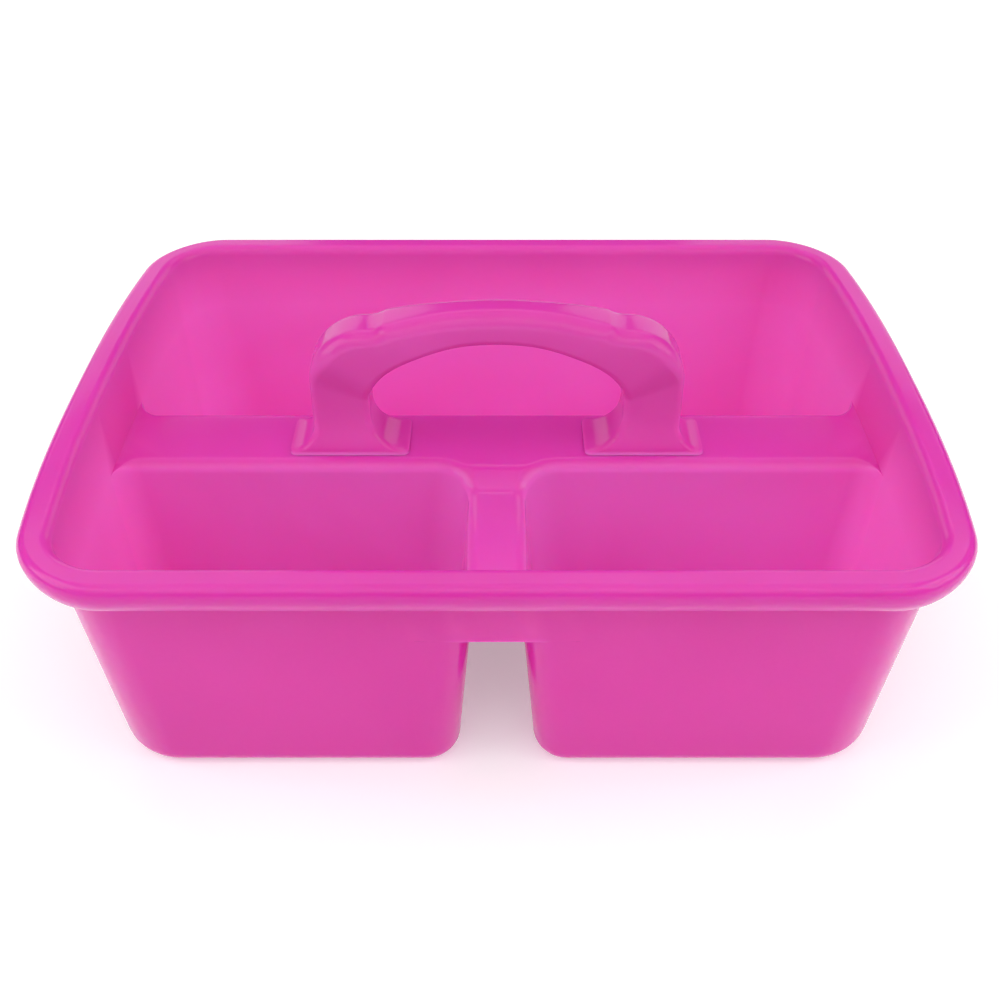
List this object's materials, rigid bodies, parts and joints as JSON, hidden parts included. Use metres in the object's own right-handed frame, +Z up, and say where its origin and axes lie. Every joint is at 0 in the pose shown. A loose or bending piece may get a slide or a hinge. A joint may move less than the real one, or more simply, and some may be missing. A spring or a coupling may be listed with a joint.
{
  "type": "cleaning caddy",
  "caption": "Open carrying tray for cleaning supplies, with compartments round a hollow T-shaped divider, a rolled rim and an arched carrying handle.",
  "frame": {"origin": "centre of the base, on the plane that the tray stands on", "axes": "+X runs along the length and the handle, +Y towards the back (the side of the one long compartment), +Z up; the open end of the front divider is at -Y"},
  "size_m": [0.4, 0.3, 0.168],
  "materials": {
    "tray_plastic": "glossy injection-moulded polypropylene, bright pink",
    "handle_plastic": "glossy injection-moulded polypropylene, bright pink",
    "screw_zinc": "zinc-plated steel"
  },
  "bodies": {
    "root": {"tray": "tray_plastic", "handle": "handle_plastic", "handle_screw_left_outer": "screw_zinc", "handle_screw_left_inner": "screw_zinc", "handle_screw_right_inner": "screw_zinc", "handle_screw_right_outer": "screw_zinc"}
  },
  "joints": []
}
